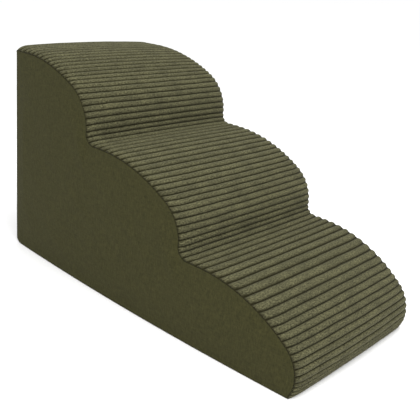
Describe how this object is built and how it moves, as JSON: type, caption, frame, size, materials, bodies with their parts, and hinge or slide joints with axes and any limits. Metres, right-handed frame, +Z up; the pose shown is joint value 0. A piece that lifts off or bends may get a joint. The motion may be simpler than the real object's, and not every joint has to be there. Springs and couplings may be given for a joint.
{
  "type": "pet stairs",
  "caption": "Low foam pet stairs with rounded, crowned steps in a ribbed corduroy cover, with plain woven sides, a flat non-slip base and a zip across the back.",
  "frame": {"origin": "on the floor, under the middle of the object's bounding box", "axes": "+X from the tall flat back to the toe of the lowest step, +Y across the width to the right side, +Z up"},
  "size_m": [0.8042, 0.403, 0.4504],
  "materials": {
    "corduroy": "matte",
    "side_cloth": "matte",
    "bottom_cloth": "matte",
    "liner": "matte",
    "firm_foam": "matte",
    "soft_foam": "matte",
    "zip_tape": "matte",
    "zip_coil": "satin",
    "zip_metal": "satin"
  },
  "bodies": {
    "stair": {"tread_panel": "corduroy", "left_side_panel": "side_cloth", "right_side_panel": "side_cloth", "back_panel_upper": "side_cloth", "back_panel_lower": "side_cloth", "bottom_panel": "bottom_cloth", "inner_liner": "liner", "foam_slab_top": "firm_foam", "foam_slab_middle": "firm_foam", "foam_slab_low": "firm_foam", "comfort_foam": "soft_foam", "zip_tape_upper": "zip_tape", "zip_tape_lower": "zip_tape", "zip_coil_upper": "zip_coil", "zip_coil_lower": "zip_coil", "zip_top_stop": "zip_metal", "zip_bottom_stop": "zip_metal"},
    "slider": {"zip_slider": "zip_metal"},
    "pull": {"zip_pull": "zip_metal"}
  },
  "joints": [
    {"name": "zip_slide", "type": "slide", "parent": "stair", "child": "slider", "axis": [0, -1, 0], "range_m": [0, 0.315]},
    {"name": "pull_swing", "type": "hinge", "parent": "slider", "child": "pull", "pos_m": [-0.3997, 0.15755, 0.092], "axis": [0, 0, -1], "range_deg": [0, 175]}
  ]
}
